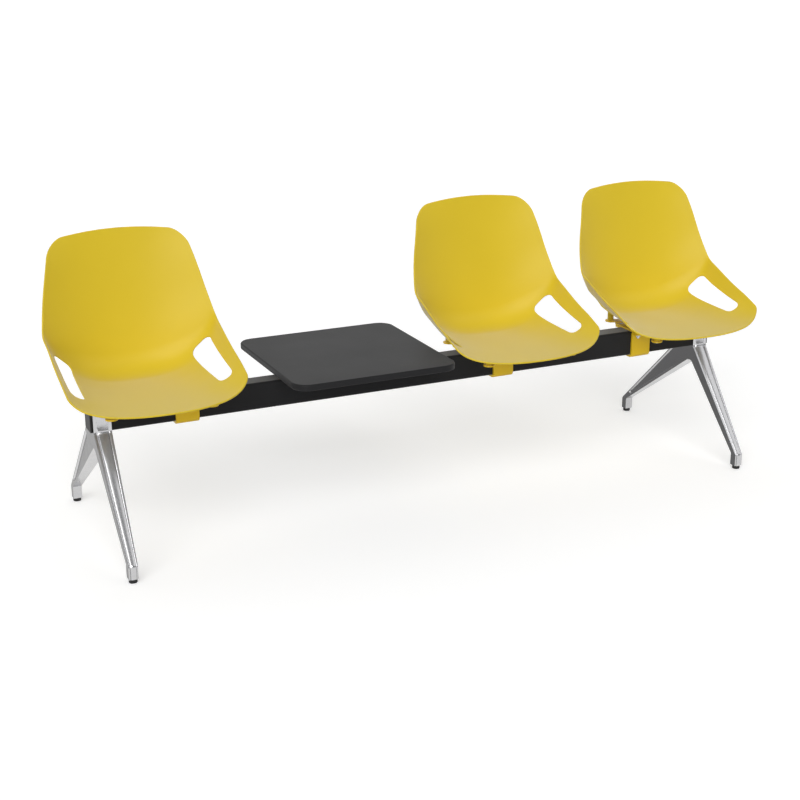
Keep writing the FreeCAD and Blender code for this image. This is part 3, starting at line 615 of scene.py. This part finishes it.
def makeRod(place, radius, low, high):
    deselectAll()
    bpy.ops.mesh.primitive_cylinder_add(
        vertices=castLeg["rodSides"],
        radius=radius,
        depth=high - low,
        location=(place[0], place[1], (low + high) / 2.0),
    )
    rod = bpy.context.object
    settle(rod)
    return rod


def trim(piece, tool, operation="DIFFERENCE"):
    applyModifier(piece, "BOOLEAN", object=tool, operation=operation, solver="EXACT")
    bpy.data.objects.remove(tool)


def roundCorners(corners):  # outline with (y, z, radius) corners, as points
    points = []
    steps = castLeg["cornerSteps"]
    for k, (y, z, radius) in enumerate(corners):
        corner = Vector((y, z))
        if radius == 0.0:
            points.append(corner)
            continue
        before = (Vector(corners[k - 1][:2]) - corner).normalized()
        after = (Vector(corners[(k + 1) % len(corners)][:2]) - corner).normalized()
        half = before.angle(after) / 2.0
        centre = corner + (before + after).normalized() * radius / math.sin(half)
        start = corner + before * radius / math.tan(half) - centre
        turn = start.angle_signed(corner + after * radius / math.tan(half) - centre)
        for step in range(steps + 1):
            angle = -turn * step / steps
            points.append(centre + Vector((
                start.x * math.cos(angle) - start.y * math.sin(angle),
                start.x * math.sin(angle) + start.y * math.cos(angle),
            )))
    return points


def legHalfWidth(height):
    low, high = castLeg["ankleHeight"], castLeg["shoulderHeight"]
    share = min(1.0, max(0.0, (height - low) / (high - low)))
    return (castLeg["ankleWidth"] + (castLeg["headWidth"] - castLeg["ankleWidth"]) * share) / 2.0


def makeLegBlank():
    shares = []
    for row in legOutline:
        shares += [row[3]] * (castLeg["cornerSteps"] + 1 if row[2] else 1)
    loop = list(zip(roundCorners([row[:3] for row in legOutline]), shares))
    total = len(loop)
    section = [(-share, depth) for share, depth in reversed(spineSection[1:])] + list(spineSection)
    reach = castLeg["headWidth"] * 0.7  # past the sides, which the taper then cuts
    rings = []
    for k, (point, share) in enumerate(loop):
        before = (point - loop[k - 1][0]).normalized()
        after = (loop[(k + 1) % total][0] - point).normalized()
        inward = Vector((-before.y - after.y, before.x + after.x))
        inward = inward.normalized() / max(0.5, inward.length / 2.0)  # at most twice the depth
        if before.angle(after) > castLeg["squareCorner"]:
            inward = Vector((1.0 if point.x < 0.0 else -1.0, 0.0))
        half = legHalfWidth(point.y)
        edge = section[-1][1] * share
        ring = [(-reach, *(point + inward * edge))]
        ring += [(x * half, *(point + inward * depth * share)) for x, depth in section]
        ring.append((reach, *(point + inward * edge)))
        rings.append(ring)
    columns = len(rings[0])
    deselectAll()
    bpy.ops.mesh.primitive_grid_add(x_subdivisions=columns - 1, y_subdivisions=total, size=1.0)
    blank = bpy.context.object
    places = np.array(rings + rings[:1])
    places[..., 1] += beamY
    blank.data.vertices.foreach_set("co", places.astype(np.float32).ravel())
    blank.data.update()
    bpy.ops.object.mode_set(mode="EDIT")
    bpy.ops.mesh.select_all(action="SELECT")
    bpy.ops.mesh.remove_doubles(threshold=castLeg["mergeDistance"])
    bpy.ops.mesh.fill_holes(sides=0)
    bpy.ops.object.mode_set(mode="OBJECT")
    faceOutward(blank)
    return blank


def sideCutter(side):  # pocket in a tapered side face, with sloped walls
    margin, depth, radius = castLeg["pocket"]
    lean, share = castLeg["pocketFloor"]
    rim = roundCorners([(y, z, radius) for y, z in pocketCorners(margin)])
    floor = roundCorners([(y, z, radius * share) for y, z in pocketCorners(margin + depth * lean)])
    cutter = makePrism([(0.0, point.x, point.y) for point in rim], (1.0, 0.0, 0.0))
    for corner in cutter.data.vertices:
        y, z = corner.co.y, corner.co.z
        if corner.co.x > 0.5:  # the end that becomes the rim
            corner.co = (side * (legHalfWidth(z) + castLeg["overcut"] / 2.0), y, z)
        else:
            nearest = min(range(len(rim)), key=lambda k: (rim[k] - Vector((y, z))).length)
            y, z = floor[nearest]
            corner.co = (side * (legHalfWidth(z) - depth), y, z)
        corner.co.y += beamY
    faceOutward(cutter)
    return cutter


def pocketCorners(margin):  # the rear limb's side, drawn in by the margin
    low, high = castLeg["pocketEnds"]
    shoulder, ankleRear, ankleFront, crotch = (Vector(legOutline[k][:2]) for k in (12, 11, 8, 7))
    lowRear = ankleRear.lerp(shoulder, (low - ankleRear.y) / (shoulder.y - ankleRear.y))
    lowFront = ankleFront.lerp(crotch, (low - ankleFront.y) / (crotch.y - ankleFront.y))
    limb = [shoulder, lowRear, lowFront, Vector((shoulder.x, high))]
    middle = sum(limb, Vector((0.0, 0.0))) / 4.0
    lines = []
    for k in range(4):
        along = (limb[(k + 1) % 4] - limb[k]).normalized()
        normal = Vector((along.y, -along.x))
        if normal.dot(middle - limb[k]) < 0.0:
            normal = -normal
        lines.append((limb[k] + normal * margin, along))
    corners = []
    for k in range(4):
        (start, along), (other, way) = lines[k], lines[k - 1]
        step = (other - start).cross(way) / along.cross(way)
        corners.append(tuple(start + along * step))
    return corners


def makeTaper():  # front view of the leg, as deep as any leg
    ankle, head = castLeg["ankleWidth"] / 2.0, castLeg["headWidth"] / 2.0
    low, high = castLeg["ankleHeight"], castLeg["shoulderHeight"]
    bottom, top = -castLeg["reach"], 0.6
    half = [(ankle, bottom), (ankle, low), (head, high), (head, top)]
    taper = [(-x, z) for x, z in half] + half[::-1]
    return makePrism([(x, -1.0, z) for x, z in taper], (0.0, 2.0, 0.0))


def makeOpening():  # where the beam passes through the collar
    half, low, high, corner = castLeg["opening"]
    corners = [(-half, low), (half, low), (half, high), (-half, high)]
    rim = roundCorners([(y, z, corner) for y, z in corners])
    reach = castLeg["reach"]
    return makePrism([(-reach, point.x + beamY, point.y) for point in rim], (2.0 * reach, 0.0, 0.0))


def makeRecess():  # in the collar's front wall, with a sloped lower half
    half, low, high, depth, depthBelow = castLeg["recess"]
    over = castLeg["overcut"]
    front = legOutline[0][0] + beamY
    middle = (low + high) / 2.0
    hollow = [(low, -over), (low, depthBelow), (middle, depth), (high, depth), (high, -over)]
    recess = makePrism([(-half, front + y, z) for z, y in hollow], (2.0 * half, 0.0, 0.0))
    width, angle = castLeg["recessRound"]
    applyModifier(
        recess, "BEVEL", width=width, segments=2, limit_method="ANGLE",
        angle_limit=math.radians(angle),
    )
    return recess


def weightEdges(piece):  # full rounding at the side faces, less at the opening and the top
    mesh = piece.data
    touching = {}
    for face in mesh.polygons:
        for key in face.edge_keys:
            touching.setdefault(key, []).append(face.normal.copy())
    weights = mesh.attributes.new("bevel_weight_edge", "FLOAT", "EDGE")
    half, low, high = castLeg["opening"][:3]
    near = castLeg["overcut"]
    for edge in mesh.edges:
        normals = touching[tuple(sorted(edge.vertices))]
        flanks = [abs(normal.x) > 0.9 for normal in normals]
        if normals[0].angle(normals[-1]) > castLeg["edgeAngle"]:
            places = [mesh.vertices[k].co for k in edge.vertices]
            inOpening = all(
                abs(place.y - beamY) < half + near and low - near < place.z < high + near
                for place in places
            )
            if sum(flanks) == 1:
                weights.data[edge.index].value = castLeg["openingShare"] if inOpening else 1.0
            elif min(place.z for place in places) > legOutline[0][1] - near:
                weights.data[edge.index].value = castLeg["topShare"]


def makeLeg():
    leg = makeLegBlank()
    leg.name = "castLeg"
    trim(leg, makeTaper(), "INTERSECT")
    trim(leg, makeOpening())
    for side in (-1.0, 1.0):
        trim(leg, sideCutter(side))
    trim(leg, makeRecess())
    over = castLeg["overcut"]
    x, y, bore, counterbore, seat = castLeg["boltHoles"]
    for side in (-1.0, 1.0):
        place = (side * x, y + beamY)
        trim(leg, makeRod(place, counterbore, seat - castLeg["counterboreDepth"], seat))
        trim(leg, makeRod(place, bore, seat - over, castLeg["opening"][1] + over))
    radius, low, high = castLeg["footHole"]
    for first, second in ((3, 4), (9, 10)):  # the two ends of each foot's underside
        footY = (legOutline[first][0] + legOutline[second][0]) / 2.0 + beamY
        trim(leg, makeRod((0.0, footY), radius, low, high))
    weightEdges(leg)
    applyModifier(leg, "BEVEL", width=castLeg["edgeRound"], segments=3, limit_method="WEIGHT")
    makeActive(leg)
    bpy.ops.object.shade_smooth_by_angle(angle=math.radians(castLeg["smoothAngle"]))
    return leg


legPattern = makeLeg()
castLegs = {}
for name, side in (("left", -1.0), ("right", 1.0)):
    leg = copyPiece(legPattern, "cast_leg_" + name, Vector((side * castLeg["x"], 0.0, 0.0)))
    addModifier(leg, "WEIGHTED_NORMAL", keep_sharp=True)
    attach(leg, "frame")
    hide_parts("leg_" + name)
    castLegs[name] = leg
bpy.data.objects.remove(legPattern)
print("legs made:", len(castLegs))


# Shared material effects

def newGroup(name, inputs, outputs):
    group = bpy.data.node_groups.new(name, "ShaderNodeTree")
    for label, kind, value in inputs:
        socket = group.interface.new_socket(name=label, in_out="INPUT", socket_type=kind)
        socket.default_value = value
    for label, kind in outputs:
        group.interface.new_socket(name=label, in_out="OUTPUT", socket_type=kind)
    return group, group.nodes.new("NodeGroupInput"), group.nodes.new("NodeGroupOutput")


def addNode(tree, kind, **values):
    node = tree.nodes.new(kind)
    for name, value in values.items():
        if name in node.inputs:
            node.inputs[name].default_value = value
        else:
            setattr(node, name, value)
    return node


def addNoise(tree, coordinates, scale, detail, roughness=0.5):
    noise = addNode(tree, "ShaderNodeTexNoise", Detail=detail, Roughness=roughness)
    tree.links.new(coordinates, noise.inputs["Vector"])
    if isinstance(scale, (int, float)):
        noise.inputs["Scale"].default_value = scale
    else:
        tree.links.new(scale, noise.inputs["Scale"])
    return noise.outputs["Fac"]


def spread(tree, value, low, high):  # 0..1 to low..high
    node = addNode(tree, "ShaderNodeMapRange")
    tree.links.new(value, node.inputs["Value"])
    for label, amount in (("To Min", low), ("To Max", high)):
        if isinstance(amount, (int, float)):
            node.inputs[label].default_value = amount
        else:
            tree.links.new(amount, node.inputs[label])
    return node.outputs["Result"]


def ramp(tree, value, low, high):  # low..high to 0..1
    node = addNode(tree, "ShaderNodeMapRange", **{"From Min": low, "From Max": high})
    tree.links.new(value, node.inputs["Value"])
    return node.outputs["Result"]


def combine(tree, operation, first, second):
    node = addNode(tree, "ShaderNodeMath", operation=operation)
    tree.links.new(first, node.inputs[0])
    tree.links.new(second, node.inputs[1])
    return node.outputs["Value"]


marks = {
    "stretch": (1.0, 7.0, 7.0),
    "lines": (4.0, 0.65),  # detail and roughness of the noise
    "lineRange": (0.60, 0.72),
    "patches": (9.0, 2.0),  # scale and detail
    "patchRange": (0.48, 0.66),
}

flankShadeRange = (0.72, 0.96)  # how squarely a face looks along the beam, for the painted shade on the leg sides
bumpStrength = 0.6


def makeGrain():  # fine surface grain and slow unevenness
    group, source, sink = newGroup(
        "surfaceGrain",
        [
            ("Grain Scale", "NodeSocketFloat", 900.0),
            ("Cloud Scale", "NodeSocketFloat", 6.0),
            ("Rough Low", "NodeSocketFloat", 0.35),
            ("Rough High", "NodeSocketFloat", 0.45),
        ],
        [(label, "NodeSocketFloat") for label in ("Height", "Roughness", "Cloud")],
    )
    place = addNode(group, "ShaderNodeTexCoord").outputs["Object"]
    height = addNoise(group, place, source.outputs["Grain Scale"], 2.0)
    cloud = addNoise(group, place, source.outputs["Cloud Scale"], 3.0)
    rough = spread(group, cloud, source.outputs["Rough Low"], source.outputs["Rough High"])
    group.links.new(height, sink.inputs["Height"])
    group.links.new(rough, sink.inputs["Roughness"])
    group.links.new(cloud, sink.inputs["Cloud"])
    return group


def makeScuffs():  # sparse fine rub marks, as a mask
    group, source, sink = newGroup(
        "rubMarks",
        [("Mark Scale", "NodeSocketFloat", 40.0), ("Amount", "NodeSocketFloat", 0.3)],
        [("Mask", "NodeSocketFloat")],
    )
    place = addNode(group, "ShaderNodeTexCoord").outputs["Object"]
    stretch = addNode(group, "ShaderNodeMapping", Scale=marks["stretch"])
    group.links.new(place, stretch.inputs["Vector"])
    lines = addNoise(
        group, stretch.outputs["Vector"], source.outputs["Mark Scale"], *marks["lines"]
    )
    patches = addNoise(group, place, *marks["patches"])
    sharp = ramp(group, lines, *marks["lineRange"])
    where = ramp(group, patches, *marks["patchRange"])
    both = combine(group, "MULTIPLY", sharp, where)
    mask = combine(group, "MULTIPLY", both, source.outputs["Amount"])
    group.links.new(mask, sink.inputs["Mask"])
    return group


def makeFlankShadeMask():  # faces that look along the beam, which get the painted shade on the leg sides
    group, _, sink = newGroup("flankShadeMask", [], [("Mask", "NodeSocketFloat")])
    geometry = addNode(group, "ShaderNodeNewGeometry")
    parts = addNode(group, "ShaderNodeSeparateXYZ")
    group.links.new(geometry.outputs["Normal"], parts.inputs["Vector"])
    size = addNode(group, "ShaderNodeMath", operation="ABSOLUTE")
    group.links.new(parts.outputs["X"], size.inputs[0])
    mask = ramp(group, size.outputs["Value"], *flankShadeRange)
    group.links.new(mask, sink.inputs["Mask"])
    return group


flankShadeGroup = makeFlankShadeMask()
grainGroup = makeGrain()
scuffGroup = makeScuffs()

finishes = {
    "yellow_plastic": {
        "colour": (0.63, 0.46, 0.012), "second": (0.67, 0.49, 0.016),
        "worn": (0.72, 0.57, 0.09), "rough": (0.38, 0.46), "grain": (1400.0, 0.00003),
        "cloud": 5.0, "scuff": (36.0, 0.08), "metal": 0.0, "specular": 0.32, "sheen": 0.20,
        "mirrored": (0.90, 0.89, 0.86),
    },
    "yellow_coat": {
        "colour": (0.82, 0.545, 0.010), "second": (0.85, 0.57, 0.012),
        "worn": (0.88, 0.64, 0.07), "rough": (0.36, 0.46), "grain": (700.0, 0.00006),
        "cloud": 12.0, "scuff": (60.0, 0.12), "metal": 0.0, "specular": 0.4, "sheen": 0.0,
        "mirrored": (0.90, 0.89, 0.86),
    },
    "black_coat": {
        "colour": (0.008, 0.008, 0.009), "second": (0.012, 0.012, 0.013),
        "worn": (0.03, 0.03, 0.03), "rough": (0.40, 0.52), "grain": (900.0, 0.00005),
        "cloud": 8.0, "scuff": (50.0, 0.20), "metal": 0.0, "specular": 0.07, "sheen": 0.4,
    },
    "black_plastic": {
        "colour": (0.008, 0.008, 0.008), "second": (0.014, 0.014, 0.014),
        "worn": (0.04, 0.04, 0.04), "rough": (0.45, 0.60), "grain": (1300.0, 0.00005),
        "cloud": 30.0, "scuff": (90.0, 0.25), "metal": 0.0, "specular": 0.35, "sheen": 0.0,
    },
    "polished_aluminium": {
        "colour": (0.62, 0.62, 0.63), "second": (0.55, 0.55, 0.565),
        "worn": (0.45, 0.45, 0.46), "rough": (0.20, 0.28), "grain": (260.0, 0.00002),
        "cloud": 25.0, "scuff": (70.0, 0.20), "metal": 1.0, "specular": 0.5, "sheen": 0.0,
        # painted shade for the sides of the casting, in place of dark reflections
        "paintedFlankShade": (0.11, 0.11, 0.115),
    },
    "zinc_steel": {
        "colour": (0.58, 0.58, 0.59), "second": (0.50, 0.51, 0.53),
        "worn": (0.38, 0.38, 0.38), "rough": (0.26, 0.40), "grain": (800.0, 0.00003),
        "cloud": 80.0, "scuff": (120.0, 0.30), "metal": 1.0, "specular": 0.5, "sheen": 0.0,
    },
    "brass": {
        "colour": (0.74, 0.54, 0.24), "second": (0.66, 0.46, 0.19),
        "worn": (0.48, 0.33, 0.14), "rough": (0.25, 0.38), "grain": (900.0, 0.00003),
        "cloud": 90.0, "scuff": (120.0, 0.30), "metal": 1.0, "specular": 0.5, "sheen": 0.0,
    },
    "grey_plastic": {
        "colour": (0.011, 0.011, 0.012), "second": (0.015, 0.015, 0.016),
        "worn": (0.035, 0.035, 0.035), "rough": (0.46, 0.56), "grain": (1500.0, 0.00006),
        "cloud": 7.0, "scuff": (45.0, 0.14), "metal": 0.0, "specular": 0.15, "sheen": 0.06,
    },
}


def mixColours(tree, mask, first, second):
    mix = addNode(tree, "ShaderNodeMix", data_type="RGBA")
    tree.links.new(mask, mix.inputs["Factor"])
    for label, colour in (("A", first), ("B", second)):
        socket = next(s for s in mix.inputs if s.name == label and s.type == "RGBA")
        if isinstance(colour, tuple):
            socket.default_value = colour + (1.0,)
        else:
            tree.links.new(colour, socket)
    return next(s for s in mix.outputs if s.type == "RGBA")


def makeFinish(name, look):
    material = bpy.data.materials.new(name)
    material.use_nodes = True
    tree = material.node_tree
    shader = tree.nodes["Principled BSDF"]
    grain = addNode(tree, "ShaderNodeGroup", node_tree=grainGroup)
    grain.inputs["Grain Scale"].default_value = look["grain"][0]
    grain.inputs["Cloud Scale"].default_value = look["cloud"]
    grain.inputs["Rough Low"].default_value = look["rough"][0]
    grain.inputs["Rough High"].default_value = look["rough"][1]
    scuffs = addNode(tree, "ShaderNodeGroup", node_tree=scuffGroup)
    scuffs.inputs["Mark Scale"].default_value = look["scuff"][0]
    scuffs.inputs["Amount"].default_value = look["scuff"][1]
    base = mixColours(tree, grain.outputs["Cloud"], look["colour"], look["second"])
    colour = mixColours(tree, scuffs.outputs["Mask"], base, look["worn"])
    if "paintedFlankShade" in look:  # painted shade: the sides of the casting get a dark grey that stands in for the dark reflections there, while the polished spine keeps the metal colour
        paintedFlankShade = addNode(tree, "ShaderNodeGroup", node_tree=flankShadeGroup)
        colour = mixColours(tree, paintedFlankShade.outputs["Mask"], colour, look["paintedFlankShade"])
    if "mirrored" in look:  # pale in the reflections on the metal
        rays = addNode(tree, "ShaderNodeLightPath")
        colour = mixColours(tree, rays.outputs["Is Glossy Ray"], colour, look["mirrored"])
    tree.links.new(colour, shader.inputs["Base Color"])
    rough = combine(tree, "ADD", grain.outputs["Roughness"], scuffs.outputs["Mask"])
    tree.links.new(rough, shader.inputs["Roughness"])
    bump = addNode(tree, "ShaderNodeBump", Strength=bumpStrength, Distance=look["grain"][1])
    tree.links.new(grain.outputs["Height"], bump.inputs["Height"])
    tree.links.new(bump.outputs["Normal"], shader.inputs["Normal"])
    shader.inputs["Metallic"].default_value = look["metal"]
    shader.inputs["Specular IOR Level"].default_value = look["specular"]
    shader.inputs["Sheen Weight"].default_value = look["sheen"]
    return material


materials = {name: makeFinish(name, look) for name, look in finishes.items()}


def paint(piece, material):
    piece.data.materials.clear()
    piece.data.materials.append(material)


slotOf = {row["node"]: row["material_slot"] for row in frame["record"]["subparts"]}
for name, node in nodes.items():
    paint(node, materials[slotOf[name]])
for shell in seatShells.values():
    paint(shell, materials["yellow_plastic"])
for leg in castLegs.values():
    paint(leg, materials["polished_aluminium"])
print("materials made:", len(materials))


# Edges of the metal pieces, softened as by plating and paint

softEdges = {
    "beam_strap_": 0.0007,
    "seat_carrier_": 0.0006,
    "table_bracket": 0.0006,
}
softAngle = 40.0
softMerge = 0.00001

for name, node in nodes.items():
    for start, width in softEdges.items():
        if name.startswith(start):
            addModifier(node, "WELD", merge_threshold=softMerge)
            addModifier(
                node, "BEVEL", width=width, segments=2, limit_method="ANGLE",
                angle_limit=math.radians(softAngle), harden_normals=True,
            )
print("edges softened")


# Studio

studio = {
    "floorSize": 160.0,
    "floorSeen": 0.90,  # to the camera and in reflections
    "floorBounce": 0.45,  # to the light that it throws back
    "floorLift": 0.27,  # its own glow, where it is seen and not in the light it throws back
    "floorRoughness": 0.9,
    "floorSpecular": 0.1,
    "horizon": 0.20,
    "zenith": 0.15,  # added overhead
    "behind": 0.80,  # added behind the object
    "lampDistance": 5.0,
    "lamps": {  # turn from the front to the left, height over the horizon, width, strength
        "keyLamp": (32.0, 28.0, 60.0, 2.4),
        "fillLamp": (-50.0, 35.0, 40.0, 0.3),
    },
}


def seenDirectly(tree):  # by the camera, in a reflection or through glass
    rays = addNode(tree, "ShaderNodeLightPath")
    seen = rays.outputs["Is Camera Ray"]
    for label in ("Is Glossy Ray", "Is Transmission Ray"):
        seen = combine(tree, "MAXIMUM", seen, rays.outputs[label])
    return seen


def makeFloor():
    deselectAll()
    bpy.ops.mesh.primitive_plane_add(size=studio["floorSize"], location=(0.0, 0.0, 0.0))
    floor = bpy.context.object
    floor.name = "studio_floor"
    material = bpy.data.materials.new("studioFloor")
    material.use_nodes = True
    tree = material.node_tree
    shader = tree.nodes["Principled BSDF"]
    seen = seenDirectly(tree)
    colour = mixColours(tree, seen, (studio["floorBounce"],) * 3, (studio["floorSeen"],) * 3)
    lift = mixColours(tree, seen, (0.0, 0.0, 0.0), (studio["floorLift"],) * 3)
    tree.links.new(colour, shader.inputs["Base Color"])
    tree.links.new(lift, shader.inputs["Emission Color"])
    shader.inputs["Emission Strength"].default_value = 1.0
    shader.inputs["Roughness"].default_value = studio["floorRoughness"]
    shader.inputs["Specular IOR Level"].default_value = studio["floorSpecular"]
    floor.data.materials.append(material)


def makeLamps():
    for name, (turn, height, width, strength) in studio["lamps"].items():
        turn, height = math.radians(turn), math.radians(height)
        flat = math.cos(height)
        towards = Vector((-math.sin(turn) * flat, -math.cos(turn) * flat, math.sin(height)))
        bpy.ops.object.light_add(type="SUN", location=towards * studio["lampDistance"])
        light = bpy.context.object
        light.name = name
        light.rotation_euler = (-towards).to_track_quat("-Z", "Y").to_euler()
        light.data.angle = math.radians(width)
        light.data.energy = strength


def makeWorld():  # brighter overhead and behind the object
    world = bpy.data.worlds.new("studioWorld")
    bpy.context.scene.world = world
    world.use_nodes = True
    tree = world.node_tree
    background = tree.nodes["Background"]
    background.inputs["Color"].default_value = (1.0, 1.0, 1.0, 1.0)
    direction = addNode(tree, "ShaderNodeTexCoord")
    parts = addNode(tree, "ShaderNodeSeparateXYZ")
    tree.links.new(direction.outputs["Generated"], parts.inputs["Vector"])
    horizon = studio["horizon"]
    overhead = spread(tree, parts.outputs["Z"], horizon, horizon + studio["zenith"])
    behind = spread(tree, parts.outputs["Y"], 0.0, studio["behind"])
    strength = combine(tree, "ADD", overhead, behind)
    tree.links.new(strength, background.inputs["Strength"])


makeFloor()
makeLamps()
makeWorld()
bpy.context.scene.view_settings.view_transform = "Standard"
print("studio ready")
